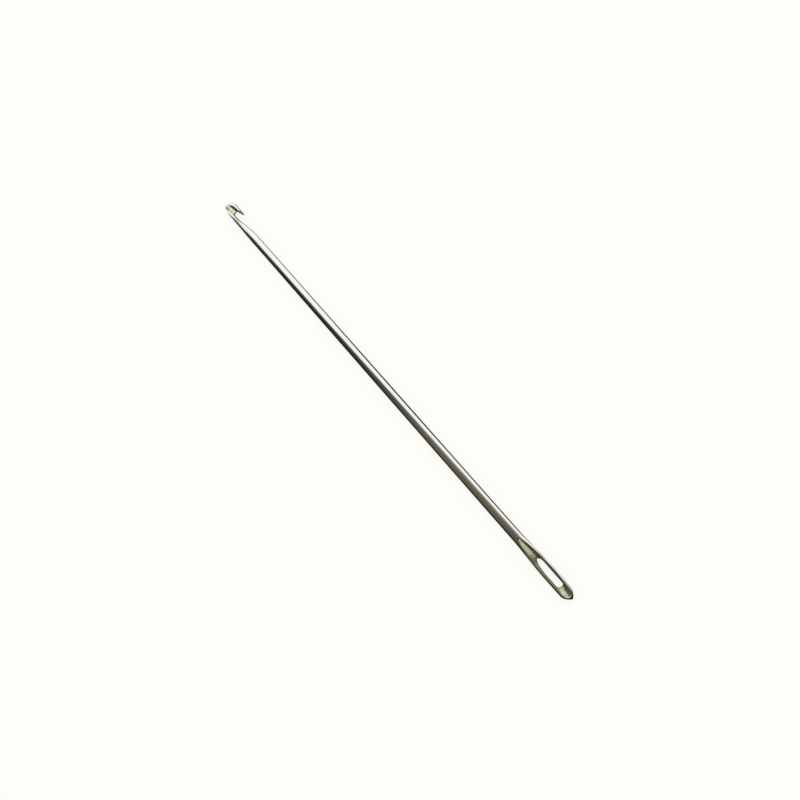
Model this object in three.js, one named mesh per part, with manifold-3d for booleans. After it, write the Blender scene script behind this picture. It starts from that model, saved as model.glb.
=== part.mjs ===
// A locker hook for rug making: one length of nickel-plated steel wire, with a crochet hook formed at one
// end and a large eye, with a gutter on both faces, pressed and pierced at the other.
// Millimetres, +Z up. The tool lies along X with the hook at -X and the eye at +X. The eye goes through
// along Z, and the hook's mouth opens towards +Y. The origin is below the middle of its footprint.
// The steel is modelled as three stretches that meet face to face where its forming changes: the hook
// head, the round shank and the eye head.
import * as THREE from "three";
import { mergeVertices } from "three/addons/utils/BufferGeometryUtils.js";
import Module from "manifold-3d";

const wasm = await Module();
wasm.setup();

// Driving dimensions. Heights are measured across the tool from the wire's centreline, positive on the
// side that the mouth opens to.
const overallLength = 165;

const neckDiameter = 2.62; // wire where the hook head ends
const middleDiameter = 3.2; // wire in the middle of the shank
const shoulderDiameter = 3.56; // wire where the eye begins

const headLength = 14; // from the nose to the round wire
const headFront = 2.64; // height of the beak's outer side
const headBack = 1.07; // the same for the back of the head, on the other side of the centreline
const headThickness = 2.3;
const headSquareness = 6.6; // of the head's section: 2 is round
const headRounding = 3; // how soon the section turns round past the throat
const noseHeight = 0.5; // height of the foremost point
const noseRoundFront = 2.0; // length of the nose's round on the mouth's side
const noseRoundBack = 3.2; // and on the back

const noseToThroat = 3.66; // to the throat's inner end, measured under the beak
const throatLean = 0.26; // by which its foot stands further from the nose
const throatFloor = 0.11; // height of the neck beside the throat
const throatFillet = 0.3;
const floorLength = 1.1; // level stretch of the throat's floor
const rampFootPull = 0.2; // how long the ramp's S-curve stays low, as a share of its length
const rampTopPull = 0.2; // and how long it stays high
const rampToShank = 0.6; // from where the ramp runs out to the round wire
const beakLength = 2.34;
const beakRootThickness = 1.12;
const beakPointThickness = 0.4;
const beakPointRound = 0.12;
const beakNarrowing = 0.4; // length in which its outer side falls towards the point
const beakFall = 5.4; // length in which that side would fall to the wire
const beakPointWidth = 0.4;
const beakTaperLength = 2.2; // in which the beak narrows to that width, seen from the side

const pocketDepth = 0.45; // of the pocket in each face of the hook head
const pocketFrontFoot = 1.3; // height of its front wall's foot, where the throat begins
const pocketFrontLean = 9; // degrees by which that wall climbs along the tool
const pocketFrontSlope = 26; // and from the pocket's floor
const pocketBackLean = 6.5; // the same for the back wall, which runs out at the throat's floor
const pocketBackSlope = 70;

const eyeWidth = 4.72;
const eyeThickness = 2.8; // between the eye's pressed flats
const eyeSquareness = 3.2; // of its section before pressing
const eyeRise = 0.08; // height of the eye's middle, where it is widest
const tipHeight = 0.25; // height of the rearmost point
const tipFall = 0.15; // by which the middle of the tip's shoulders lies lower than the eye's
const tipNarrowing = 0.4; // by which the eye is narrower at its tip's round than at the slot's middle
const tipRound = 3.6; // length of the tip's round, seen from above
const tipRoundUp = 1.6; // and seen from the side
const tipArchPower = 2.2; // the tip is a pointed arch: a higher power squares its shoulders
const tipArchRoot = 1.0; // and a lower root blunts its point
const pressRunIn = 9; // from the round wire to the full flats

const eyeRootLength = 9.75; // from the round wire to the slot
const slotLength = 11.75;
const slotToTip = 5.3;
const cheekWidth = 1.2; // metal on either side of the slot, where the eye is widest
const slotRootHeight = 0.25; // height of the slot's end next to the shank
const slotRootRound = 2.2; // length of that end's round on the mouth's side
const slotRootSlant = 6; // and at the back, where it is slanted
const slotTipRound = 0.9; // length of the round end next to the tip
const webThickness = 1.6; // metal left between the two gutters
const gutterHeight = 0.12; // height of the gutters' middle
const gutterToSide = 0.56; // from a gutter's edge to the eye's side, where the eye is widest
const gutterLead = 0.8; // from the round wire to a gutter's pointed end
const gutterRunIn = 12.2; // from there to its full depth
const gutterRunOut = 4.5; // from its full depth to its blunt end
const gutterToTip = 1.3;

// How finely round forms are divided, what counts as 0, how far cutting tools stand clear of the metal, and
// by how much they pass clear of a surface where their cut runs out.
const wireSides = 48;
const gutterSides = 96;
const curveSteps = 10;
const hookRings = 32;
const swellRings = 15;
const tipRings = 22;
const crowdedAtNose = 1.7; // crowding of rings, as places() takes it
const crowdedAtTip = 0.5;
const crowdedAtGutterStart = 1.5;
const crowdedAtGutterEnd = 0.4;
const nearZero = 1e-6;
const clear = 3;
const clearOfBeak = 0.3;
const runOutGap = 0.03;

// Places along the tool from the nose, and sizes that follow from the dimensions above.
const beakPoint = noseToThroat + beakLength;
const rampEnd = headLength - rampToShank;
const slotEnd = overallLength - slotToTip;
const slotStart = slotEnd - slotLength;
const eyeStart = slotStart - eyeRootLength;
const eyeMiddle = (slotStart + slotEnd) / 2;
const shankMiddle = (headLength + eyeStart) / 2;
const slotWidth = eyeWidth - 2 * cheekWidth;
const thickestRadius = Math.max(neckDiameter, middleDiameter, shoulderDiameter) / 2;

const { lerp, clamp, smoothstep, degToRad } = THREE.MathUtils;

// The wire's outline

function wireRadius(x) {
  const front = clamp((x - headLength) / (shankMiddle - headLength), 0, 1);
  const rear = clamp((x - shankMiddle) / (eyeStart - shankMiddle), 0, 1);
  return lerp(lerp(neckDiameter, middleDiameter, front), shoulderDiameter, rear) / 2;
}

// Rises from 0 at an end of the tool to 1 where its round is over, as a quarter of an ellipse.
function round(distance, length) {
  return Math.sqrt(1 - clamp(1 - distance / length, 0, 1) ** 2);
}

// The same for the eye's tip, as half of a pointed arch.
function arch(distance, length) {
  return (1 - clamp(1 - distance / length, 0, 1) ** tipArchPower) ** tipArchRoot;
}

// The height of one of the eye's two sides, which swell from the wire and close in an arch. The side is 1
// where the mouth is and -1 at the back.
function eyeSide(x, side) {
  const swelling = smoothstep(x, eyeStart, eyeMiddle);
  const atTip = smoothstep(x, eyeMiddle, overallLength - tipRound);
  const halfWidth = lerp(wireRadius(x), eyeWidth / 2, swelling) - (tipNarrowing / 2) * atTip;
  const middle = eyeRise * swelling - tipFall * atTip;
  return lerp(tipHeight, middle + side * halfWidth, arch(overallLength - x, tipRound));
}

// The heights of the tool's two sides: the side with the mouth, and the back.
function mouthSide(x) {
  if (x > headLength) return eyeSide(x, 1);
  const fallStart = beakPoint - beakNarrowing;
  const side = lerp(headFront, wireRadius(x), smoothstep(x, fallStart, fallStart + beakFall));
  return lerp(noseHeight, side, round(x, noseRoundFront));
}

function backSide(x) {
  if (x > headLength) return eyeSide(x, -1);
  const side = -lerp(headBack, wireRadius(x), smoothstep(x, noseRoundBack, headLength));
  return lerp(noseHeight, side, round(x, noseRoundBack));
}

// Half the thickness, before the eye is pressed.
function halfThickness(x) {
  const half = lerp(headThickness / 2, wireRadius(x), smoothstep(x, beakPoint, headLength));
  return half * round(x, noseRoundFront) * round(overallLength - x, tipRoundUp);
}

// The power of the superellipse that the section is: 2 where it is round, and more where it is squarer.
function squareness(x) {
  const pastHook = clamp((x - noseToThroat) / (headLength - noseToThroat), 0, 1);
  if (x < headLength) return lerp(2, headSquareness, (1 - pastHook) ** headRounding);
  return lerp(2, eyeSquareness, smoothstep(x, eyeStart, eyeMiddle));
}

// Rings along the wire

// Count places from start to end, the last left out. They crowd towards the start where bias is over 1,
// and towards the end where it is under 1.
function places(start, end, count, bias = 1) {
  const share = (u) => (bias < 1 ? 1 - (1 - u) ** (1 / bias) : u ** bias);
  return Array.from({ length: count }, (_, i) => lerp(start, end, share(i / count)));
}

// A turned blank with flat ends, whose rings are then moved out to the wire's outline.
function wireStretch(rings) {
  const profile = rings.map((x) => new THREE.Vector2(1, x));
  profile.unshift(new THREE.Vector2(0, rings[0]));
  profile.push(new THREE.Vector2(0, rings[rings.length - 1]));
  const geometry = new THREE.LatheGeometry(profile, wireSides).rotateZ(-Math.PI / 2);
  const position = geometry.getAttribute("position");
  for (let i = 0; i < position.count; i += 1) {
    const x = position.getX(i);
    const power = 2 / squareness(x);
    const across = signedPower(position.getY(i), power);
    const up = signedPower(position.getZ(i), power);
    const middle = (mouthSide(x) + backSide(x)) / 2;
    const halfWidth = (mouthSide(x) - backSide(x)) / 2;
    position.setXYZ(i, x, middle + halfWidth * across, halfThickness(x) * up);
  }
  return solidFrom(geometry);
}

// A power that keeps the sign. What is only rounding noise on the unit circle stays at 0.
function signedPower(value, power) {
  return Math.abs(value) < nearZero ? 0 : Math.sign(value) * Math.abs(value) ** power;
}

// Dies and cutting tools

// Half the distance between the pressing dies.
function pressedHeight(x) {
  const start = thickestRadius + runOutGap;
  return lerp(start, eyeThickness / 2, smoothstep(x, eyeStart, eyeStart + pressRunIn));
}

// The space between the two dies that press the eye flat.
function betweenDies() {
  const stations = [eyeStart - clear, ...places(eyeStart, eyeStart + pressRunIn, curveSteps)];
  stations.push(eyeStart + pressRunIn, overallLength + clear);
  const upper = stations.map((x) => new THREE.Vector2(x, pressedHeight(x)));
  const lower = upper.map((point) => new THREE.Vector2(point.x, -point.y)).reverse();
  const depth = 2 * (eyeWidth + clear);
  const shape = new THREE.Shape([...upper, ...lower]);
  const geometry = new THREE.ExtrudeGeometry(shape, { depth, bevelEnabled: false });
  return solidFrom(geometry.translate(0, 0, -depth / 2).rotateX(Math.PI / 2));
}

// An outline in the XY plane, drawn right through the tool along Z.
function cutThrough(shape) {
  const depth = 2 * (thickestRadius + clear);
  const options = { depth, bevelEnabled: false, curveSegments: curveSteps };
  return solidFrom(new THREE.ExtrudeGeometry(shape, options).translate(0, 0, -depth / 2));
}

// The throat, its mouth and the ramp, which climbs in an S-curve from the neck to the round wire.
function throatCut() {
  const outside = headFront + clear;
  const foot = noseToThroat + throatLean;
  const floorEnd = foot + floorLength;
  const lowEnd = lerp(floorEnd, rampEnd, rampFootPull);
  const highStart = lerp(rampEnd, floorEnd, rampTopPull);
  const rampTop = wireRadius(rampEnd) + runOutGap;
  const root = headFront - beakRootThickness;
  const point = headFront - beakPointThickness;
  const slope = (point - root) / beakLength;
  const fillet = Math.min(throatFillet, (root - throatFloor) / 2);
  const shape = new THREE.Shape();
  shape.moveTo(beakPoint, outside);
  shape.lineTo(beakPoint, point + beakPointRound);
  shape.quadraticCurveTo(beakPoint, point, beakPoint - beakPointRound, point - beakPointRound * slope);
  shape.lineTo(noseToThroat + fillet, root + fillet * slope);
  shape.quadraticCurveTo(noseToThroat, root, noseToThroat, root - fillet);
  shape.lineTo(foot, throatFloor + fillet);
  shape.quadraticCurveTo(foot, throatFloor, foot + fillet, throatFloor);
  shape.lineTo(floorEnd, throatFloor);
  shape.bezierCurveTo(lowEnd, throatFloor, highStart, rampTop, rampEnd, rampTop);
  shape.lineTo(rampEnd, outside);
  return cutThrough(shape);
}

// What is taken off a face of the beak, which narrows towards its point. The face is 1 for the upper one
// and -1 for the lower one, here and below.
function beakTaperCut(face) {
  const start = beakPoint - beakTaperLength;
  const end = beakPoint + clearOfBeak;
  const slope = (headThickness - beakPointWidth) / 2 / beakTaperLength;
  const top = headThickness / 2;
  const aboveNeck = (headFront - beakRootThickness + throatFloor) / 2;
  const depth = headFront + clear - aboveNeck;
  const outline = [
    [start, top],
    [end, top - slope * (end - start)],
    [end, top + clear],
    [start, top + clear],
  ];
  const shape = new THREE.Shape(outline.map(([x, z]) => new THREE.Vector2(x, face * z)));
  const geometry = new THREE.ExtrudeGeometry(shape, { depth, bevelEnabled: false });
  return solidFrom(geometry.translate(0, 0, -aboveNeck - depth).rotateX(Math.PI / 2));
}

// The space beside one sloping wall of a pocket and above the pocket's floor. The wall's foot goes through
// the given place and climbs by the lean. The open side is 1 towards the mouth and -1 towards the back.
function besideWall(place, slope, lean, openSide, face) {
  const floor = headThickness / 2 - pocketDepth;
  const height = pocketDepth + clear;
  const far = openSide * (headFront + headBack + clear);
  const section = [
    [0, floor],
    [(-openSide * height) / Math.tan(degToRad(slope)), floor + height],
    [far, floor + height],
    [far, floor],
  ];
  const shape = new THREE.Shape(section.map(([y, z]) => new THREE.Vector2(y, face * z)));
  const depth = clear + beakPoint + clearOfBeak;
  const geometry = new THREE.ExtrudeGeometry(shape, { depth, bevelEnabled: false });
  geometry.translate(0, 0, -clear - place.x).rotateY(Math.PI / 2).rotateX(Math.PI / 2);
  return solidFrom(geometry.rotateZ(degToRad(lean)).translate(place.x, place.y, 0));
}

// The pocket in a face of the hook head. Its two walls fan out from the nose, and its front wall goes on
// along the beak as a bevel.
function pocketCut(face) {
  const backWallWidth = pocketDepth / Math.tan(degToRad(pocketBackSlope));
  const backFoot = new THREE.Vector2(noseToThroat + throatLean, throatFloor + backWallWidth);
  const frontFoot = new THREE.Vector2(noseToThroat, pocketFrontFoot);
  const back = besideWall(backFoot, pocketBackSlope, pocketBackLean, 1, face);
  const front = besideWall(frontFoot, pocketFrontSlope, pocketFrontLean, -1, face);
  return back.intersect(front);
}

function slotCut() {
  const half = slotWidth / 2;
  const toMouthSide = half - slotRootHeight;
  const toBack = half + slotRootHeight;
  const roundX = slotStart + slotRootRound;
  const slantX = slotStart + slotRootSlant;
  const shape = new THREE.Shape();
  shape.absellipse(roundX, slotRootHeight, slotRootRound, toMouthSide, Math.PI / 2, Math.PI, false);
  shape.absellipse(slantX, slotRootHeight, slotRootSlant, toBack, Math.PI, 1.5 * Math.PI, false);
  shape.absellipse(slotEnd - slotTipRound, 0, slotTipRound, half, -Math.PI / 2, Math.PI / 2, false);
  return cutThrough(shape);
}

// A spindle that sinks a gutter into a face of the eye, from a pointed end next to the shank to a blunt end
// next to the tip.
function gutterCut(face) {
  const start = eyeStart + gutterLead;
  const end = overallLength - gutterToTip;
  const halfWidth = eyeWidth / 2 - gutterToSide;
  const depth = (eyeThickness - webThickness) / 2;
  const radius = (halfWidth ** 2 + depth ** 2) / (2 * depth);
  const axis = webThickness / 2 + radius;
  const profile = [
    ...places(start, eyeMiddle, 2 * curveSteps, crowdedAtGutterStart),
    ...places(eyeMiddle, end, 2 * curveSteps, crowdedAtGutterEnd),
    end,
  ].map((x) => {
    const share = round(x - start, gutterRunIn) ** 2 * round(end - x, gutterRunOut);
    return new THREE.Vector2(axis - lerp(pressedHeight(x), webThickness / 2, share), x);
  });
  profile.unshift(new THREE.Vector2(0, start));
  profile.push(new THREE.Vector2(0, end));
  const geometry = new THREE.LatheGeometry(profile, gutterSides).rotateZ(-Math.PI / 2);
  return solidFrom(geometry.translate(0, gutterHeight, face * axis));
}

// Between geometries and solids

// A closed geometry as a solid, with its shared vertices merged and its collapsed triangles dropped.
function solidFrom(geometry) {
  geometry.deleteAttribute("normal");
  geometry.deleteAttribute("uv");
  const merged = mergeVertices(geometry, 1e-4);
  const index = merged.index.array;
  const triVerts = [];
  for (let i = 0; i < index.length; i += 3) {
    const corners = index.subarray(i, i + 3);
    if (new Set(corners).size === 3) triVerts.push(...corners);
  }
  const vertProperties = new Float32Array(merged.getAttribute("position").array);
  return new wasm.Manifold(new wasm.Mesh({ numProp: 3, vertProperties, triVerts: new Uint32Array(triVerts) }));
}

function geometryFrom(solid) {
  const mesh = solid.getMesh();
  const geometry = new THREE.BufferGeometry();
  geometry.setAttribute("position", new THREE.BufferAttribute(mesh.vertProperties, 3));
  geometry.setIndex(new THREE.BufferAttribute(mesh.triVerts, 1));
  geometry.computeVertexNormals();
  return geometry;
}

// The three stretches

function subtractAll(solid, cuts) {
  return cuts.reduce((left, cut) => left.subtract(cut), solid);
}

function hookHead() {
  const rings = [...places(0, headLength, hookRings, crowdedAtNose), headLength];
  const faceCuts = [1, -1].flatMap((face) => [pocketCut(face), beakTaperCut(face)]);
  return subtractAll(wireStretch(rings), [throatCut(), ...faceCuts]);
}

function shank() {
  return wireStretch([headLength, shankMiddle, eyeStart]);
}

function eyeHead() {
  const rings = [
    ...places(eyeStart, eyeMiddle, swellRings),
    ...places(eyeMiddle, overallLength, tipRings, crowdedAtTip),
    overallLength,
  ];
  const pressed = wireStretch(rings).intersect(betweenDies());
  return subtractAll(pressed, [slotCut(), gutterCut(1), gutterCut(-1)]);
}

// The scene

const nickelPlate = new THREE.MeshStandardMaterial({ color: 0xc9c5b4, roughness: 0.14, metalness: 1 });

function steelPiece(name, solid) {
  const mesh = new THREE.Mesh(geometryFrom(solid), nickelPlate.clone());
  mesh.name = name;
  return mesh;
}

const tool = new THREE.Group();
tool.name = "locker_hook";
tool.add(steelPiece("hook_head", hookHead()));
tool.add(steelPiece("shank", shank()));
tool.add(steelPiece("eye_head", eyeHead()));

// The beak stands further out than the eye, so the footprint's middle lies off the centreline.
const mouthReach = Math.max(headFront, eyeWidth / 2 + eyeRise);
const backReach = Math.max(headBack, eyeWidth / 2 - eyeRise);
const footprintMiddle = (mouthReach - backReach) / 2;
tool.position.set(-overallLength / 2, -footprintMiddle, thickestRadius);

export default tool;
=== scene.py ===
"""The looks of a locker hook: the fine surface of its three stretches, the finish of its nickel plate, a
pale floor, studio light, and a camera at the photograph's angle.

Sizes are in millimetres, as the tool is drawn: x runs along it from the nose of the hook, y is the height on
the side that the mouth opens to and z the height above the wire's centreline. They become metres where a
mesh, lamp or camera is made.
"""

import math

import bmesh
import bpy
import numpy as np
from mathutils import Matrix, Vector


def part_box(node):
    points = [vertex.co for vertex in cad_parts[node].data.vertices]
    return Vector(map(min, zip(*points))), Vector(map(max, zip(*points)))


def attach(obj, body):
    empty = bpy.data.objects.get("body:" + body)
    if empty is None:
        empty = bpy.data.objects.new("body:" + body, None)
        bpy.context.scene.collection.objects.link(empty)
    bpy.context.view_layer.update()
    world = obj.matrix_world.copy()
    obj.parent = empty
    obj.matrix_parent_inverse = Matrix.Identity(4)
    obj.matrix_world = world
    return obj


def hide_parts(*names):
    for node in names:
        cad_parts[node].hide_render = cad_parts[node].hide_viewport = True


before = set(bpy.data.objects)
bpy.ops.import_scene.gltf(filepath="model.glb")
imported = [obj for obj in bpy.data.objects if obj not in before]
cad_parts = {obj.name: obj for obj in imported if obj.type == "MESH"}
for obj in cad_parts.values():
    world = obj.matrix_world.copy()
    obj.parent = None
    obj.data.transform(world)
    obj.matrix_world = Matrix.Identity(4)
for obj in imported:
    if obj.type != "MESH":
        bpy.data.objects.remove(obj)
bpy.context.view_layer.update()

MM = 0.001

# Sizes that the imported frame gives
head_low, head_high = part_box("hook_head")
shank_low, shank_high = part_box("shank")
eye_low, eye_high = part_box("eye_head")
NOSE_X = head_low.x / MM
CENTRE_Y = (shank_low.y + shank_high.y) / 2 / MM
CENTRE_Z = (shank_low.z + shank_high.z) / 2 / MM
OVERALL_LENGTH = eye_high.x / MM - NOSE_X
HEAD_LENGTH = head_high.x / MM - NOSE_X
EYE_START = eye_low.x / MM - NOSE_X
SHOULDER_DIAMETER = (shank_high.z - shank_low.z) / MM
EYE_WIDTH = (eye_high.y - eye_low.y) / MM

# The wire and the hook
NECK_DIAMETER = 2.62
MIDDLE_DIAMETER = 3.2
HEAD_FRONT = 2.64
HEAD_BACK = 1.07
HEAD_THICKNESS = 2.3
HEAD_SQUARENESS = 6.6
HEAD_ROUNDING = 3
NOSE_HEIGHT = 0.5
NOSE_ROUND_FRONT = 2.0
NOSE_ROUND_BACK = 3.2
NOSE_TO_THROAT = 3.66
THROAT_LEAN = 0.26
THROAT_FLOOR = 0.11
THROAT_FILLET = 0.3
FLOOR_LENGTH = 1.1
RAMP_FOOT_PULL = 0.2
RAMP_TOP_PULL = 0.2
RAMP_TO_SHANK = 0.6
BEAK_LENGTH = 2.34
BEAK_ROOT_THICKNESS = 1.12
BEAK_POINT_THICKNESS = 0.4
BEAK_POINT_ROUND = 0.12
BEAK_NARROWING = 0.4
BEAK_FALL = 5.4
BEAK_POINT_WIDTH = 0.4
BEAK_TAPER_LENGTH = 2.2

# The pocket in each face of the hook head, whose front wall goes on along the beak as a bevel
POCKET_DEPTH = 0.45
POCKET_FRONT_FOOT = 1.3
POCKET_FRONT_LEAN = math.radians(9)
POCKET_FRONT_SLOPE = math.radians(26)
POCKET_BACK_LEAN = math.radians(6.5)
POCKET_BACK_SLOPE = math.radians(70)

# The eye
EYE_THICKNESS = 2.8
EYE_SQUARENESS = 3.2
EYE_RISE = 0.08
TIP_HEIGHT = 0.25
TIP_FALL = 0.15
TIP_NARROWING = 0.4
TIP_ROUND = 3.6
TIP_ROUND_UP = 1.6
TIP_ARCH_POWER = 2.2
TIP_ARCH_ROOT = 1.0
PRESS_RUN_IN = 9.0
EYE_ROOT_LENGTH = 9.75
SLOT_LENGTH = 11.75
CHEEK_WIDTH = 1.2
SLOT_ROOT_HEIGHT = 0.25
SLOT_ROOT_ROUND = 2.2
SLOT_ROOT_SLANT = 6.0
SLOT_TIP_ROUND = 0.9
WEB_THICKNESS = 1.6
GUTTER_HEIGHT = 0.12
GUTTER_TO_SIDE = 0.56
GUTTER_LEAD = 0.8
GUTTER_RUN_IN = 12.2
GUTTER_RUN_OUT = 4.5
GUTTER_TO_TIP = 1.3

# How far the edges are rounded off
PRESSED_EDGE = 0.3
THROAT_EDGE = 0.28
BEAK_EDGE = 0.06
POCKET_EDGE = 0.08
SLOT_EDGE = 0.14
SLOT_ROOT_EDGE = 0.45
GUTTER_EDGE = 0.1
RUN_OUT_GAP = 0.03

# Fineness of the surface
CELL = np.array([0.14, 0.075, 0.075])
SETTLING_ROUNDS = 4
SHANK_STEP = 2.0
SHANK_SIDES = 96
CURVE_STEPS = 12
CLEAR_OF_BEAK = 0.3
CLEAR_OF_HEAD = 3.0
GRID_MARGIN = 0.2
GRADIENT_REACH = 0.004
SETTLING_SHARE = 0.6
FIRST_ROUNDS = 5
NEAR_ZERO = 1e-6
THINNEST = 1e-3

# Where the painted shade of the recesses, the painted light on their level floors, the painted shade along
# the hook's pockets and throat, and the dark patch round the slot lie
RECESS_SHADE_START = 0.03
RECESS_SHADE_FULL = 0.14
# Painted light: how the floors that get the pale coat face
PAINTED_SHEEN_LEAN = math.radians(7.5)
PAINTED_SHEEN_LEAN_AT_TIP = math.radians(15)
PAINTED_SHEEN_LEAN_RUN_IN = 2.0
PAINTED_SHEEN_STEEPEST = math.cos(math.radians(21))
PAINTED_SHEEN_LEVEL = math.cos(math.radians(5))
# The dark patch round the end of the slot next to the shank
SLOT_DARK_PATCH_REACH = 2.0
SLOT_DARK_PATCH_POWER = 3
SLOT_DARK_PATCH_ON_SIDES = 0.5
# Painted shade along the pockets' back walls, at the nose and along the throat
NOSE_SHADE_REACH = 0.5
NOSE_SHADE_END = 0.9
POCKET_SHADE_START = 2.2
POCKET_SHADE_REACH = 0.15
POCKET_SHADE_STRENGTH = 0.4
THROAT_SHADE_REACH = 0.22
THROAT_SHADE_FADE_START = 5.8
THROAT_SHADE_FADE_END = 8.5

# Colours of the plate
PLATE_COLOUR = (0.78, 0.779, 0.743, 1)
PLATE_SHADE = (0.73, 0.728, 0.67, 1)
# Painted shade: the olive tint of the recesses
RECESS_SHADE_COLOUR = (0.45, 0.45, 0.27, 1)
# Painted light: the pale coat on the recesses' floors and its darker streaks
PAINTED_SHEEN_COLOUR = (0.76, 0.77, 0.56, 1)
PAINTED_SHEEN_STREAK_COLOUR = (0.50, 0.50, 0.33, 1)
# Painted shade along the hook's pockets and throat, and the dark patch round the slot
DARK_PATCH_AND_SHADE_COLOUR = (0.13, 0.11, 0.08, 1)

# How much of its metal look each painted coat takes away, and how rough and how high the plate's marks are
RECESS_SHADE_DULLNESS = 0.07
PAINTED_SHEEN_DULLNESS = 0.6
DARK_PATCH_AND_SHADE_DULLNESS = 0.22
PLATE_ROUGHNESS = 0.14
BLOTCH_ROUGHNESS = 0.1
PAINTED_SHEEN_ROUGHNESS = 0.3
WAVE_HEIGHT = 0.03
LINE_HEIGHT = 0.004

# The camera, nearly straight above. In the picture the tool's hook points up to the left.
PHOTO_PIXEL = 0.3145
TOOL_MIDDLE_PIXEL = (399.6, 402.4)
PICTURE_MIDDLE_PIXEL = (400, 400)
TOOL_TURN = math.radians(48.63)
TILT = math.radians(5)
LENS = 100.0
SENSOR = 36.0
PICTURE_PIXELS = 800
NEAREST_SEEN = 10.0

# The floor and the world
FLOOR_REACH = 4000
FLOOR_GLOW = 0.885
FLOOR_COLOUR = (0.09, 0.09, 0.087, 1)
FLOOR_GLOW_COLOUR = (1, 1, 0.965, 1)
BACKGROUND = (0.98, 0.98, 0.975, 1)

# The tent goes round the tool like a tunnel, bright on the mouth's side and towards the hook, dark on the
# other side and towards the eye. Each pair is a place along the tool and the value there. Angles are in
# degrees off the zenith, towards the mouth's side.
TENT_RADIUS = 150.0
TENT_START = -240.0
TENT_END = 400.0
TENT_STEP = 5.0
TENT_ANGLE_STEP = 2.0
TENT_BRIGHT = (1.24, 1.25, 1.245)
TENT_EDGE = [(-80, -95), (-30, -52), (-14, -39), (-10, -30), (-6, -18), (-1, -18), (10, -9), (26, -8),
             (45, -2), (64, 15), (83, 22), (102, 29), (121, 42), (136, 44), (146, 48), (151, 61), (155, 62),
             (160, 57), (200, 66), (270, 110)]
TENT_SOFTNESS = [(-14, 8), (-8, 5), (-1, 5), (10, 7), (26, 11), (64, 13), (102, 13), (121, 17), (146, 14)]
TENT_FADE = [(155, 1), (163, 0.75)]
TENT_DARK = [(0, (0.008, 0.008, 0.006)), (60, (0.03, 0.03, 0.022)), (100, (0.14, 0.11, 0.08)),
             (137, (0.125, 0.105, 0.065)), (165, (0.09, 0.08, 0.055)), (176, (0.022, 0.02, 0.015)),
             (250, (0.02, 0.018, 0.014))]
TENT_GLOW = [(60, 0.12), (121, 0.2), (146, 0.24), (165, 0.18), (176, 0.0)]
TENT_GLOW_REACH = [(60, 22), (121, 36), (146, 42)]

# A dark card lies under the tool and on its dark side, and a little way out on the bright side. Only
# reflections see it: it is a painted shadow, darkening the floor that the metal mirrors next to it.
CARD_COLOUR = (0.016, 0.014, 0.011, 1)
CARD_HEIGHT = 0.1
CARD_OUTLINE = [(-60, -150), (260, -150), (260, 60), (178, 60), (167, 8), (163, 4.5), (159, 3.5), (156, 2),
                (145, 2), (141, 4), (135, 8), (98, 12), (83, 25), (67, 20), (51, 9), (36, 6), (14, 4),
                (6.2, 2.2), (5, 7), (0, 7), (0, 1), (3, -1.5), (1.5, -12), (-40, -100)]

# The key light, placed from the tool's middle
KEY_LIGHT_PLACE = (-350, 550, 800)
KEY_LIGHT_SIZE = 700
KEY_LIGHT_POWER = 2.5

# Places that follow
BEAK_POINT = NOSE_TO_THROAT + BEAK_LENGTH
RAMP_END = HEAD_LENGTH - RAMP_TO_SHANK
SLOT_START = EYE_START + EYE_ROOT_LENGTH
SLOT_END = SLOT_START + SLOT_LENGTH
EYE_MIDDLE = (SLOT_START + SLOT_END) / 2
SHANK_MIDDLE = (HEAD_LENGTH + EYE_START) / 2
PICTURE_WIDTH = PICTURE_PIXELS * PHOTO_PIXEL


# Blends between values


def lerp(start, end, share):
    return start + (end - start) * share


def smoothstep(x, start, end):
    share = np.clip((x - start) / (end - start), 0, 1)
    return share * share * (3 - 2 * share)


def end_round(distance, length):
    """From 0 at an end of the tool to 1 where its round is over, as a quarter of an ellipse."""
    return np.sqrt(1 - np.clip(1 - distance / length, 0, 1) ** 2)


def larger(a, b, edge):
    """The larger of two distances, where the edge between them is rounded off."""
    blended = np.maximum(edge - np.abs(a - b), 0) ** 2
    return np.maximum(a, b) + blended / (4 * np.maximum(edge, NEAR_ZERO))


# The wire's outline


def wire_radius(x):
    front = np.clip((x - HEAD_LENGTH) / (SHANK_MIDDLE - HEAD_LENGTH), 0, 1)
    rear = np.clip((x - SHANK_MIDDLE) / (EYE_START - SHANK_MIDDLE), 0, 1)
    return lerp(lerp(NECK_DIAMETER, MIDDLE_DIAMETER, front), SHOULDER_DIAMETER, rear) / 2


def eye_side(x, side):
    """The height of one of the eye's two sides, 1 where the mouth is and -1 at the back."""
    swelling = smoothstep(x, EYE_START, EYE_MIDDLE)
    at_tip = smoothstep(x, EYE_MIDDLE, OVERALL_LENGTH - TIP_ROUND)
    half_width = lerp(wire_radius(x), EYE_WIDTH / 2, swelling) - TIP_NARROWING / 2 * at_tip
    middle = EYE_RISE * swelling - TIP_FALL * at_tip
    arch = (1 - np.clip(1 - (OVERALL_LENGTH - x) / TIP_ROUND, 0, 1) ** TIP_ARCH_POWER) ** TIP_ARCH_ROOT
    return lerp(TIP_HEIGHT, middle + side * half_width, arch)


def mouth_side(x):
    fall_start = BEAK_POINT - BEAK_NARROWING
    side = lerp(HEAD_FRONT, wire_radius(x), smoothstep(x, fall_start, fall_start + BEAK_FALL))
    hook = lerp(NOSE_HEIGHT, side, end_round(x, NOSE_ROUND_FRONT))
    return np.where(x > HEAD_LENGTH, eye_side(x, 1), hook)


def back_side(x):
    side = -lerp(HEAD_BACK, wire_radius(x), smoothstep(x, NOSE_ROUND_BACK, HEAD_LENGTH))
    hook = lerp(NOSE_HEIGHT, side, end_round(x, NOSE_ROUND_BACK))
    return np.where(x > HEAD_LENGTH, eye_side(x, -1), hook)


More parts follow.
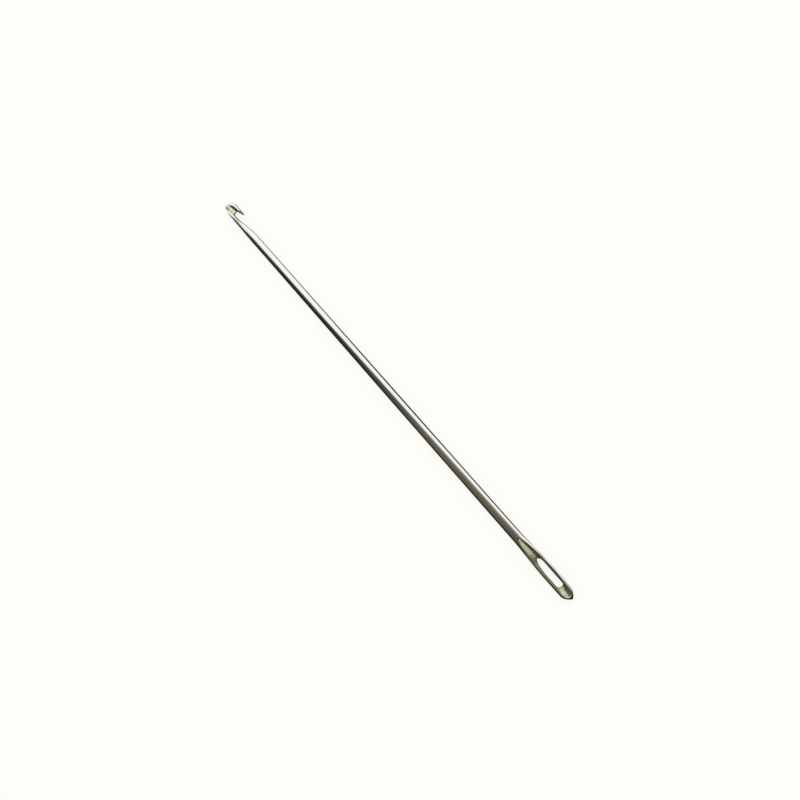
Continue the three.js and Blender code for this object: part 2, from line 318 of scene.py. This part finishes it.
def half_thickness(x):
    half = lerp(HEAD_THICKNESS / 2, wire_radius(x), smoothstep(x, BEAK_POINT, HEAD_LENGTH))
    return half * end_round(x, NOSE_ROUND_FRONT) * end_round(OVERALL_LENGTH - x, TIP_ROUND_UP)


def squareness(x):
    """The power of the superellipse that the section is: 2 where it is round, more where it is squarer."""
    past_hook = np.clip((x - NOSE_TO_THROAT) / (HEAD_LENGTH - NOSE_TO_THROAT), 0, 1)
    at_hook = (1 - past_hook) ** HEAD_ROUNDING
    at_eye = smoothstep(x, EYE_START, EYE_MIDDLE)
    return 2 + (HEAD_SQUARENESS - 2) * at_hook + (EYE_SQUARENESS - 2) * at_eye


# Distances from surfaces, negative inside the metal or inside what is cut from it


def blank_distance(x, y, z):
    """From the wire before pressing and cutting."""
    middle = (mouth_side(x) + back_side(x)) / 2
    half_width = np.maximum((mouth_side(x) - back_side(x)) / 2, THINNEST)
    half_height = np.maximum(half_thickness(x), THINNEST)
    power = squareness(x)
    across = np.abs(y - middle) / half_width
    up = np.abs(z) / half_height
    level = np.maximum(across**power + up**power, NEAR_ZERO)
    slope = np.hypot(across ** (power - 1) / half_width, up ** (power - 1) / half_height)
    distance = (level ** (1 / power) - 1) / np.maximum(slope * level ** (1 / power - 1), THINNEST)
    return np.maximum(distance, np.maximum(-x, x - OVERALL_LENGTH))


def curve(*controls):
    """Points along a Bezier curve, its last one left out."""
    points = []
    for share in np.arange(CURVE_STEPS) / CURVE_STEPS:
        layer = np.array(controls, float)
        while len(layer) > 1:
            layer = lerp(layer[:-1], layer[1:], share)
        points.append(layer[0])
    return points


def throat_outline():
    """The throat, its mouth and the ramp, which climbs in an S-curve from the neck to the round wire."""
    outside = HEAD_FRONT + CLEAR_OF_HEAD
    foot = NOSE_TO_THROAT + THROAT_LEAN
    floor_end = foot + FLOOR_LENGTH
    low_end = lerp(floor_end, RAMP_END, RAMP_FOOT_PULL)
    high_start = lerp(RAMP_END, floor_end, RAMP_TOP_PULL)
    ramp_top = wire_radius(RAMP_END) + RUN_OUT_GAP
    root = HEAD_FRONT - BEAK_ROOT_THICKNESS
    point = HEAD_FRONT - BEAK_POINT_THICKNESS
    slope = (point - root) / BEAK_LENGTH
    fillet = THROAT_FILLET
    tip = BEAK_POINT_ROUND
    return np.array(
        [(BEAK_POINT, outside)]
        + curve((BEAK_POINT, point + tip), (BEAK_POINT, point), (BEAK_POINT - tip, point - tip * slope))
        + curve((NOSE_TO_THROAT + fillet, root + fillet * slope), (NOSE_TO_THROAT, root),
                (NOSE_TO_THROAT, root - fillet))
        + curve((foot, THROAT_FLOOR + fillet), (foot, THROAT_FLOOR), (foot + fillet, THROAT_FLOOR))
        + curve((floor_end, THROAT_FLOOR), (low_end, THROAT_FLOOR), (high_start, ramp_top),
                (RAMP_END, ramp_top))
        + [(RAMP_END, ramp_top), (RAMP_END, outside)]
    )


def outline_distance(outline, x, y):
    """From a closed outline that is drawn right through the tool."""
    x, y = np.broadcast_arrays(x, y)
    x, y = x[..., None], y[..., None]
    start_x, start_y = outline.T
    side_x, side_y = (np.roll(outline, -1, axis=0) - outline).T
    share = ((x - start_x) * side_x + (y - start_y) * side_y) / (side_x**2 + side_y**2)
    share = np.clip(share, 0, 1)
    distance = np.hypot(x - start_x - share * side_x, y - start_y - share * side_y).min(-1)
    crosses = (start_y > y) != (start_y + side_y > y)
    rise = np.where(side_y == 0, 1, side_y)
    left_of = x < start_x + (y - start_y) / rise * side_x
    inside = (crosses & left_of).sum(-1) % 2 == 1
    return np.where(inside, -distance, distance)


THROAT = throat_outline()


def beak_taper_distance(x, y, z):
    """From what is taken off both faces of the beak, which narrows towards its point."""
    start = BEAK_POINT - BEAK_TAPER_LENGTH
    slope = (HEAD_THICKNESS - BEAK_POINT_WIDTH) / 2 / BEAK_TAPER_LENGTH
    above_neck = (HEAD_FRONT - BEAK_ROOT_THICKNESS + THROAT_FLOOR) / 2
    face = (HEAD_THICKNESS / 2 - slope * (x - start) - np.abs(z)) / math.hypot(1, slope)
    return np.maximum(face, np.maximum(above_neck - y, x - BEAK_POINT - CLEAR_OF_BEAK))


def beside_wall(x, y, z, place, slope, lean, open_side):
    """From the space beside one sloping wall of the pockets and above their floor."""
    floor = HEAD_THICKNESS / 2 - POCKET_DEPTH
    height = np.abs(z) - floor
    out = open_side * ((y - place[1]) * math.cos(lean) - (x - place[0]) * math.sin(lean))
    return np.maximum(-height, -out * math.sin(slope) - height * math.cos(slope))


def pocket_distance(x, y, z):
    back_wall_width = POCKET_DEPTH / math.tan(POCKET_BACK_SLOPE)
    back_foot = (NOSE_TO_THROAT + THROAT_LEAN, THROAT_FLOOR + back_wall_width)
    front_foot = (NOSE_TO_THROAT, POCKET_FRONT_FOOT)
    back = beside_wall(x, y, z, back_foot, POCKET_BACK_SLOPE, POCKET_BACK_LEAN, 1)
    front = beside_wall(x, y, z, front_foot, POCKET_FRONT_SLOPE, POCKET_FRONT_LEAN, -1)
    return np.maximum(np.maximum(back, front), x - BEAK_POINT - CLEAR_OF_BEAK)


def hook_distance(x, y, z):
    metal = larger(blank_distance(x, y, z), -pocket_distance(x, y, z), POCKET_EDGE)
    metal = larger(metal, -beak_taper_distance(x, y, z), POCKET_EDGE)
    root = HEAD_FRONT - BEAK_ROOT_THICKNESS
    edge = lerp(THROAT_EDGE, BEAK_EDGE, smoothstep(y, root - 2 * THROAT_FILLET, root))
    return larger(metal, -outline_distance(THROAT, x, y), edge)


def ellipse_distance(x, y, length, height):
    level = np.maximum(np.hypot(x / length, y / height), NEAR_ZERO)
    slope = np.hypot(x / length**2, y / height**2) / level
    return (level - 1) / np.maximum(slope, THINNEST)


def slot_distance(x, y):
    """From the slot. Its round end next to the shank is slanted, longer at the back than on the mouth's
    side."""
    half = EYE_WIDTH / 2 - CHEEK_WIDTH
    from_root = y - SLOT_ROOT_HEIGHT
    length = np.where(from_root > 0, SLOT_ROOT_ROUND, SLOT_ROOT_SLANT)
    height = half - np.sign(from_root) * SLOT_ROOT_HEIGHT
    root = ellipse_distance(np.minimum(x - SLOT_START - length, 0), from_root, length, height)
    tip = ellipse_distance(np.maximum(x - SLOT_END + SLOT_TIP_ROUND, 0), y, SLOT_TIP_ROUND, half)
    return np.maximum(root, tip)


def gutter_distance(x, y, z):
    """From the two long spindles that sink the gutters into the eye's faces, pointed next to the shank and
    blunt next to the tip."""
    start = EYE_START + GUTTER_LEAD
    end = OVERALL_LENGTH - GUTTER_TO_TIP
    half_width = EYE_WIDTH / 2 - GUTTER_TO_SIDE
    depth = (EYE_THICKNESS - WEB_THICKNESS) / 2
    radius = (half_width**2 + depth**2) / (2 * depth)
    axis = WEB_THICKNESS / 2 + radius
    pressed = smoothstep(x, EYE_START, EYE_START + PRESS_RUN_IN)
    shallow = lerp(wire_radius(EYE_START), EYE_THICKNESS / 2, pressed)
    share = end_round(x - start, GUTTER_RUN_IN) ** 2 * end_round(end - x, GUTTER_RUN_OUT)
    floor = lerp(shallow, WEB_THICKNESS / 2, share)
    distance = np.hypot(y - GUTTER_HEIGHT, np.abs(z) - axis) - (axis - floor)
    return np.maximum(distance, np.maximum(start - x, x - end))


def pressed_eye_distance(x, y, z):
    pressed = smoothstep(x, EYE_START, EYE_START + PRESS_RUN_IN)
    half_gap = lerp(SHOULDER_DIAMETER / 2 + RUN_OUT_GAP, EYE_THICKNESS / 2, pressed)
    return larger(blank_distance(x, y, z), np.abs(z) - half_gap, PRESSED_EDGE * pressed)


def eye_distance(x, y, z):
    metal = larger(pressed_eye_distance(x, y, z), -gutter_distance(x, y, z), GUTTER_EDGE)
    edge = lerp(SLOT_ROOT_EDGE, SLOT_EDGE, smoothstep(x, SLOT_START, SLOT_START + SLOT_ROOT_ROUND))
    return larger(metal, -slot_distance(x, y), edge)


# Fine surfaces


def gradient(distance, points):
    steps = np.eye(3) * GRADIENT_REACH
    return np.stack(
        [distance(*(points + step).T) - distance(*(points - step).T) for step in steps], axis=-1
    ) / (2 * GRADIENT_REACH)


def onto_surface(distance, points, at_seam, rounds=2):
    """Moves points onto the surface. Those at the seam stay in its plane."""
    for _ in range(rounds):
        uphill = gradient(distance, points)
        uphill[at_seam, 0] = 0
        steepness = np.maximum((uphill**2).sum(-1), 0.05)
        step = uphill * (distance(*points.T) / steepness)[:, None]
        points = points - np.clip(step, -CELL.min(), CELL.min())
    return points


def net(values):
    """A net of four-cornered faces between the grid points inside the metal and those outside it. Gives its
    points, in grid steps, and its faces, which turn outwards."""
    inside = values < 0
    cells = np.array(values.shape) - 1
    total = np.zeros((*cells, 3))
    count = np.zeros(cells)
    crossings = []
    for axis in range(3):
        others = [a for a in range(3) if a != axis]
        near = np.moveaxis(values, axis, 0)[:-1]
        far = np.moveaxis(values, axis, 0)[1:]
        crossed = (near < 0) != (far < 0)
        share = np.where(crossed, near / np.where(crossed, near - far, 1), 0)
        crossings.append((crossed, near < 0))
        totals, counts = np.moveaxis(total, axis, 0), np.moveaxis(count, axis, 0)
        rows, columns = counts.shape[1:]
        for down in (0, 1):
            for right in (0, 1):
                part = crossed[:, down : down + rows, right : right + columns]
                counts += part
                totals[..., axis] += share[:, down : down + rows, right : right + columns]
                totals[..., others[0]] += part * down
                totals[..., others[1]] += part * right
    used = count > 0
    number = np.full(cells, -1)
    number[used] = np.arange(used.sum())
    points = np.argwhere(used) + total[used] / count[used][:, None]
    faces = []
    for axis, (crossed, near_inside) in enumerate(crossings):
        numbers = np.moveaxis(number, axis, 0)
        i, j, k = np.nonzero(crossed[:, 1:-1, 1:-1])
        quads = np.stack(
            [numbers[i, j, k], numbers[i, j + 1, k], numbers[i, j + 1, k + 1], numbers[i, j, k + 1]], -1
        )
        turned = near_inside[:, 1:-1, 1:-1][i, j, k] == (axis == 1)
        quads[turned] = quads[turned][:, ::-1]
        faces.append(quads)
    return points, np.concatenate(faces)


def settle(distance, points, faces, at_seam):
    """Evens out the net along the surface."""
    ends = np.concatenate([faces[:, [i, (i + 1) % 4]] for i in range(4)])
    neighbours = np.bincount(ends[:, 0], minlength=len(points))[:, None]
    for _ in range(SETTLING_ROUNDS):
        totals = [np.bincount(ends[:, 0], points[ends[:, 1], a], len(points)) for a in range(3)]
        middle = np.stack(totals, -1) / neighbours
        middle[at_seam, 0] = points[at_seam, 0]
        points = onto_surface(distance, lerp(points, middle, SETTLING_SHARE), at_seam)
    return points


def rim_of(faces):
    """The open edge of a net, as the numbers of its points in order."""
    edges = {(int(f[i]), int(f[(i + 1) % 4])) for f in faces for i in range(4)}
    following = {b: a for a, b in edges if (b, a) not in edges}
    rim = [next(iter(sorted(following)))]
    while following[rim[-1]] != rim[0]:
        rim.append(following[rim[-1]])
    return rim


def head_surface(distance, seam, end):
    """A closed surface from a flat cap at the seam to the end of the tool."""
    direction = math.copysign(1, end - seam)
    half_width = max(EYE_WIDTH / 2, HEAD_FRONT) + GRID_MARGIN
    half_height = SHOULDER_DIAMETER / 2 + GRID_MARGIN
    along = (np.arange(-0.5, abs(end - seam) / CELL[0] + 2)) * CELL[0]
    across = np.arange(-half_width, half_width, CELL[1])
    up = np.arange(-half_height, half_height, CELL[2])
    x, y, z = np.meshgrid(seam + direction * along, across, up, indexing="ij", sparse=True)
    values = np.broadcast_to(distance(x, y, z), (len(along), len(across), len(up))).copy()
    values[0] = values[1]
    points, faces = net(values)
    at_seam = points[:, 0] < 1
    points = points * CELL + np.array([along[0], across[0], up[0]])
    points[at_seam, 0] = 0
    points[:, 0] = seam + direction * points[:, 0]
    if direction < 0:
        faces = faces[:, ::-1]
    points = onto_surface(distance, points, at_seam, FIRST_ROUNDS)
    points = settle(distance, points, faces, at_seam)
    return points, faces.tolist() + [rim_of(faces)]


def shank_surface():
    count = round((EYE_START - HEAD_LENGTH) / SHANK_STEP)
    places = np.linspace(HEAD_LENGTH, EYE_START, count + 1)
    angles = np.arange(SHANK_SIDES) * 2 * np.pi / SHANK_SIDES
    radii = wire_radius(places)[:, None]
    x = np.broadcast_to(places[:, None], (count + 1, SHANK_SIDES))
    points = np.stack([x, radii * np.cos(angles), radii * np.sin(angles)], -1).reshape(-1, 3)
    faces = []
    for ring in range(count):
        for side in range(SHANK_SIDES):
            after = (side + 1) % SHANK_SIDES
            near, far = ring * SHANK_SIDES, (ring + 1) * SHANK_SIDES
            faces.append([near + side, near + after, far + after, far + side])
    first = list(range(SHANK_SIDES))
    return points, faces + [first[::-1], [count * SHANK_SIDES + side for side in first]]


def piece(name, node, points, faces, recess_shade=0.0, painted_sheen=0.0, dark_patch_and_shade=0.0):
    """A piece of the tool from points in millimetres. Its flat caps at the seams have sharp edges."""
    place = np.array([NOSE_X, CENTRE_Y, CENTRE_Z])
    mesh = bpy.data.meshes.new(name)
    mesh.from_pydata(((points + place) * MM).tolist(), [], faces)
    mesh.shade_smooth()
    # The masks of the painted shade, the painted light and the dark patch go on as attributes
    for attribute, values in (("recess_shade", recess_shade), ("painted_sheen", painted_sheen), ("dark_patch_and_shade", dark_patch_and_shade)):
        values = np.broadcast_to(values, len(points)).astype(np.float32)
        mesh.attributes.new(attribute, "FLOAT", "POINT").data.foreach_set("value", values)
    shaper = bmesh.new()
    shaper.from_mesh(mesh)
    for face in shaper.faces:
        if len(face.verts) > 4:
            face.smooth = False
            for edge in face.edges:
                edge.smooth = False
    shaper.to_mesh(mesh)
    shaper.free()
    thing = bpy.data.objects.new(name, mesh)
    bpy.context.scene.collection.objects.link(thing)
    mesh.materials.append(NICKEL)
    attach(thing, "root")
    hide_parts(node)
    return thing


# Materials


class Nodes:
    """Short calls for a material's node tree."""

    def __init__(self, name):
        self.material = bpy.data.materials.new(name)
        self.material.use_nodes = True
        self.tree = self.material.node_tree
        self.tree.nodes.clear()

    def add(self, kind, inputs=None, **settings):
        node = self.tree.nodes.new(kind)
        for name, value in settings.items():
            setattr(node, name, value)
        for name, value in (inputs or {}).items():
            self.feed(node.inputs[name], value)
        return node

    def feed(self, socket, value):
        if isinstance(value, bpy.types.NodeSocket):
            self.tree.links.new(value, socket)
        else:
            socket.default_value = value

    def math(self, operation, a, b=0.0, c=0.0, clamp=False):
        values = {0: a, 1: b, 2: c}
        return self.add("ShaderNodeMath", values, operation=operation, use_clamp=clamp).outputs[0]

    def noise(self, coordinates, scale, stretch, detail, rough=0.5):
        """Noise whose grain is about 1 / scale millimetres, and longer where stretch is under 1."""
        sizes = tuple(scale / MM * share for share in stretch)
        placed = self.add("ShaderNodeMapping", {"Vector": coordinates, "Scale": sizes})
        inputs = {"Vector": placed.outputs[0], "Scale": 1.0, "Detail": detail, "Roughness": rough}
        return self.add("ShaderNodeTexNoise", inputs).outputs["Fac"]

    def mix(self, share, a, b):
        node = self.add("ShaderNodeMix", data_type="RGBA")
        for number, value in ((0, share), (6, a), (7, b)):
            self.feed(node.inputs[number], value)
        return node.outputs[2]

    def output(self, shader):
        self.add("ShaderNodeOutputMaterial", {"Surface": shader})
        return self.material


def nickel_plate():
    """Bright nickel: long drawing lines and soft blotches from polishing, a darker olive tint in the
    recesses as painted shade, a pale dull coat as painted light on their level floors that lean to the lit
    side, and dark brown as painted shade along the hook's pockets and throat and as a dark patch round the
    end of the slot next to the shank."""
    nodes = Nodes("nickel_plate")
    place = nodes.add("ShaderNodeTexCoord").outputs["Object"]
    recess_shade = nodes.add("ShaderNodeAttribute", attribute_name="recess_shade").outputs["Fac"]
    painted_sheen = nodes.add("ShaderNodeAttribute", attribute_name="painted_sheen").outputs["Fac"]
    dark_patch_and_shade = nodes.add("ShaderNodeAttribute", attribute_name="dark_patch_and_shade").outputs["Fac"]
    blotches = nodes.noise(place, scale=0.35, stretch=(0.35, 1, 1), detail=4.0, rough=0.6)
    lines = nodes.noise(place, scale=3.2, stretch=(0.03, 1, 1), detail=2.0)
    waves = nodes.noise(place, scale=0.6, stretch=(0.2, 1, 1), detail=1.0)
    streaks = nodes.noise(place, scale=1.5, stretch=(1, 0.3, 0.3), detail=3.0, rough=0.6)
    shade = nodes.math("MULTIPLY_ADD", blotches, 1.8, -0.4, clamp=True)
    plate = nodes.mix(shade, PLATE_COLOUR, PLATE_SHADE)
    streak = nodes.math("MULTIPLY_ADD", streaks, 3.0, -1.1, clamp=True)
    streaked = nodes.mix(streak, PAINTED_SHEEN_COLOUR, PAINTED_SHEEN_STREAK_COLOUR)
    # Painted shade in the recesses and painted light on their floors
    colour = nodes.mix(painted_sheen, nodes.mix(recess_shade, plate, RECESS_SHADE_COLOUR), streaked)
    # Dark brown: painted shade along the hook's pockets and throat, and a dark patch round the slot
    darkened = nodes.math("MULTIPLY", dark_patch_and_shade, nodes.math("ADD", streaks, 0.5, clamp=True))
    colour = nodes.mix(darkened, colour, DARK_PATCH_AND_SHADE_COLOUR)
    metallic = nodes.math("MULTIPLY_ADD", recess_shade, -RECESS_SHADE_DULLNESS, 1.0)
    metallic = nodes.math("MULTIPLY_ADD", painted_sheen, -PAINTED_SHEEN_DULLNESS, metallic)
    metallic = nodes.math("MULTIPLY_ADD", dark_patch_and_shade, -DARK_PATCH_AND_SHADE_DULLNESS, metallic)
    roughness = nodes.math("MULTIPLY_ADD", blotches, BLOTCH_ROUGHNESS, PLATE_ROUGHNESS)
    roughness = nodes.math("MULTIPLY_ADD", painted_sheen, PAINTED_SHEEN_ROUGHNESS, roughness)
    inputs = {"Height": waves, "Distance": WAVE_HEIGHT * MM, "Strength": 1.0}
    waved = nodes.add("ShaderNodeBump", inputs).outputs[0]
    inputs = {"Height": lines, "Distance": LINE_HEIGHT * MM, "Strength": 1.0, "Normal": waved}
    bump = nodes.add("ShaderNodeBump", inputs)
    inputs = {"Base Color": colour, "Metallic": metallic, "Roughness": roughness, "Normal": bump.outputs[0]}
    return nodes.output(nodes.add("ShaderNodeBsdfPrincipled", inputs).outputs[0])


NICKEL = nickel_plate()


# The tool's pieces


def recess_shade_of(uncut, points):
    """From 0 to 1 where a point lies below the uncut metal's surface: how much painted shade the recesses
    get there.
    """
    return smoothstep(-uncut(*points.T), RECESS_SHADE_START, RECESS_SHADE_FULL)


def painted_sheen_of(distance, points):
    """From 0 to 1 where the surface is nearly level, or leans a little to the mouth's side, towards the
    light: how much painted light the floors get there.
    """
    outwards = gradient(distance, points)
    past_slot = smoothstep(points[:, 0], SLOT_END, SLOT_END + PAINTED_SHEEN_LEAN_RUN_IN)
    lean = lerp(PAINTED_SHEEN_LEAN, PAINTED_SHEEN_LEAN_AT_TIP, past_slot)
    facing = np.abs(outwards[:, 2]) * np.cos(lean) + outwards[:, 1] * np.sin(lean)
    facing /= np.maximum(np.linalg.norm(outwards, axis=1), NEAR_ZERO)
    return smoothstep(facing, PAINTED_SHEEN_STEEPEST, PAINTED_SHEEN_LEVEL)


def slot_dark_patch(points):
    """How much of the dark brown patch is at each point round the end of the slot next to the shank."""
    x, y, _ = points.T
    off_slot = np.maximum(slot_distance(x, y), 0)
    near = np.exp(-((off_slot / SLOT_DARK_PATCH_REACH) ** SLOT_DARK_PATCH_POWER))
    return near * (1 - smoothstep(x, SLOT_START, SLOT_START + SLOT_ROOT_ROUND))


def hook_painted_shade(points):
    """Painted shade in the same dark brown along the back walls of the pockets, where it is strongest next
    to the nose, and along the throat up to the foot of its ramp."""
    x, y, _ = points.T
    wall = THROAT_FLOOR + (x - NOSE_TO_THROAT - THROAT_LEAN) * math.tan(POCKET_BACK_LEAN)
    off_nose = smoothstep(x, NOSE_SHADE_END, POCKET_SHADE_START)
    reach = lerp(NOSE_SHADE_REACH, POCKET_SHADE_REACH, off_nose)
    strength = lerp(1, POCKET_SHADE_STRENGTH, off_nose)
    in_pocket = np.exp(-(((y - wall) / reach) ** 2)) * strength * (x < NOSE_TO_THROAT)
    below_beak = y < HEAD_FRONT - BEAK_ROOT_THICKNESS
    in_throat = np.exp(-((outline_distance(THROAT, x, y) / THROAT_SHADE_REACH) ** 2))
    fade = 1 - smoothstep(x, THROAT_SHADE_FADE_START, THROAT_SHADE_FADE_END)
    return np.maximum(in_pocket, in_throat * below_beak * fade)


def build_tool():
    points, faces = head_surface(hook_distance, HEAD_LENGTH, 0)
    # Painted shade in the recesses, painted light on their floors and painted shade along the pockets and
    # throat
    recess_shade = recess_shade_of(blank_distance, points)
    painted_sheen = recess_shade * painted_sheen_of(hook_distance, points)
    piece("plated_hook_head", "hook_head", points, faces, recess_shade, painted_sheen, hook_painted_shade(points))
    points, faces = shank_surface()
    piece("plated_shank", "shank", points, faces)
    points, faces = head_surface(eye_distance, EYE_START, OVERALL_LENGTH)
    # Painted shade in the recesses, painted light on their floors and a dark patch round the slot
    recess_shade = recess_shade_of(pressed_eye_distance, points)
    painted_sheen = recess_shade * painted_sheen_of(eye_distance, points)
    dark_patch_and_shade = slot_dark_patch(points) * lerp(SLOT_DARK_PATCH_ON_SIDES, 1, recess_shade)
    piece("plated_eye_head", "eye_head", points, faces, recess_shade, painted_sheen, dark_patch_and_shade)


build_tool()


# The camera


def make_camera():
    turn = Matrix.Rotation(-TILT, 3, "X") @ Matrix.Rotation(TOOL_TURN, 3, "Z")
    right, up, back = turn @ Vector((1, 0, 0)), turn @ Vector((0, 1, 0)), turn @ Vector((0, 0, 1))
    middle = Vector((0, 0, CENTRE_Z))
    middle += right * (PICTURE_MIDDLE_PIXEL[0] - TOOL_MIDDLE_PIXEL[0]) * PHOTO_PIXEL
    middle -= up * (PICTURE_MIDDLE_PIXEL[1] - TOOL_MIDDLE_PIXEL[1]) * PHOTO_PIXEL
    camera = bpy.data.objects.new("camera", bpy.data.cameras.new("camera"))
    camera.data.lens = LENS
    camera.data.sensor_width = SENSOR
    camera.data.clip_start = NEAREST_SEEN * MM
    distance = PICTURE_WIDTH * LENS / SENSOR
    camera.matrix_world = Matrix.Translation((middle + back * distance) * MM) @ turn.to_4x4()
    bpy.context.scene.collection.objects.link(camera)
    bpy.context.scene.camera = camera


make_camera()


# The floor and the light


def stage_piece(name, points, faces, material):
    mesh = bpy.data.meshes.new(name)
    mesh.from_pydata([tuple(value * MM for value in point) for point in points], [], faces)
    mesh.materials.append(material)
    thing = bpy.data.objects.new(name, mesh)
    bpy.context.scene.collection.objects.link(thing)
    return thing


def seen_directly(nodes):
    """1 for rays from the camera and for those that polished metal or glass sends back, otherwise 0."""
    path = nodes.add("ShaderNodeLightPath").outputs
    seen = nodes.math("ADD", path["Is Camera Ray"], path["Is Glossy Ray"], clamp=True)
    return nodes.math("ADD", seen, path["Is Transmission Ray"], clamp=True)


def make_floor():
    nodes = Nodes("pale_floor")
    glow = nodes.math("MULTIPLY", seen_directly(nodes), FLOOR_GLOW)
    lit = nodes.add("ShaderNodeBsdfDiffuse", {"Color": FLOOR_COLOUR}).outputs[0]
    glowing = nodes.add("ShaderNodeEmission", {"Color": FLOOR_GLOW_COLOUR, "Strength": glow}).outputs[0]
    material = nodes.output(nodes.add("ShaderNodeAddShader", {0: lit, 1: glowing}).outputs[0])
    r = FLOOR_REACH
    stage_piece("floor", [(-r, -r, 0), (r, -r, 0), (r, r, 0), (-r, r, 0)], [(0, 1, 2, 3)], material)


def make_world():
    world = bpy.data.worlds.new("studio")
    bpy.context.scene.world = world
    world.use_nodes = True
    tree = world.node_tree
    tree.nodes["Background"].inputs["Color"].default_value = BACKGROUND
    tree.nodes["Background"].inputs["Strength"].default_value = 1.0


def along_tent(x, steps):
    places, values = zip(*steps)
    return np.interp(x, places, values)


def tent_tone(x, angle):
    """The light that the tent sends to the tool from a place and an angle."""
    places, tones = zip(*TENT_DARK)
    dark = [np.interp(x, places, channel) for channel in zip(*tones)]
    edge, softness = along_tent(x, TENT_EDGE), along_tent(x, TENT_SOFTNESS)
    bright = smoothstep(angle, edge - softness, edge + softness)
    glow = along_tent(x, TENT_GLOW) * math.exp(-max(edge - angle, 0) / along_tent(x, TENT_GLOW_REACH))
    fade = along_tent(x, TENT_FADE)
    return [lerp(low + glow, high * fade, bright) for low, high in zip(dark, TENT_BRIGHT)]


def only_in_reflections(thing):
    thing.visible_camera = False
    thing.visible_diffuse = False
    thing.visible_shadow = False
    thing.visible_transmission = False


def glowing_material(name, colour):
    nodes = Nodes(name)
    if isinstance(colour, str):
        colour = nodes.add("ShaderNodeAttribute", attribute_name=colour).outputs["Color"]
    return nodes.output(nodes.add("ShaderNodeEmission", {"Color": colour, "Strength": 1.0}).outputs[0])


def make_tent():
    places = np.arange(TENT_START, TENT_END, TENT_STEP)
    angles = np.arange(-90, 91, TENT_ANGLE_STEP)
    points, tones = [], []
    for x in places:
        for angle in angles:
            turned = math.radians(angle)
            points.append((x + NOSE_X, TENT_RADIUS * math.sin(turned), TENT_RADIUS * math.cos(turned)))
            tones.append([*tent_tone(x, angle), 1])
    across = len(angles)
    faces = [
        (i * across + j, i * across + j + 1, (i + 1) * across + j + 1, (i + 1) * across + j)
        for i in range(len(places) - 1)
        for j in range(across - 1)
    ]
    end_wall = range(len(points) - across, len(points))
    faces.append(end_wall)
    tent = stage_piece("light_tent", points, faces, glowing_material("light_tent", "tone"))
    colours = tent.data.color_attributes.new("tone", "FLOAT_COLOR", "POINT")
    colours.data.foreach_set("color", np.array(tones, np.float32).ravel())
    only_in_reflections(tent)


# Painted shadow that only reflections see
def make_shadow_card():
    points = [(x + NOSE_X, y, CARD_HEIGHT) for x, y in CARD_OUTLINE]
    material = glowing_material("painted_shadow_card", CARD_COLOUR)
    card = stage_piece("painted_shadow_card", points, [range(len(points))], material)
    only_in_reflections(card)


def make_key_light():
    lamp = bpy.data.lights.new("key_light", "AREA")
    lamp.shape = "SQUARE"
    lamp.size = KEY_LIGHT_SIZE * MM
    lamp.energy = KEY_LIGHT_POWER
    thing = bpy.data.objects.new("key_light", lamp)
    place = Vector(KEY_LIGHT_PLACE) * MM
    thing.location = place
    thing.rotation_mode = "QUATERNION"
    thing.rotation_quaternion = (-place).to_track_quat("-Z", "Y")
    thing.visible_glossy = False
    bpy.context.scene.collection.objects.link(thing)


make_floor()
make_world()
make_tent()
make_shadow_card()
make_key_light()
bpy.context.scene.view_settings.view_transform = "Standard"
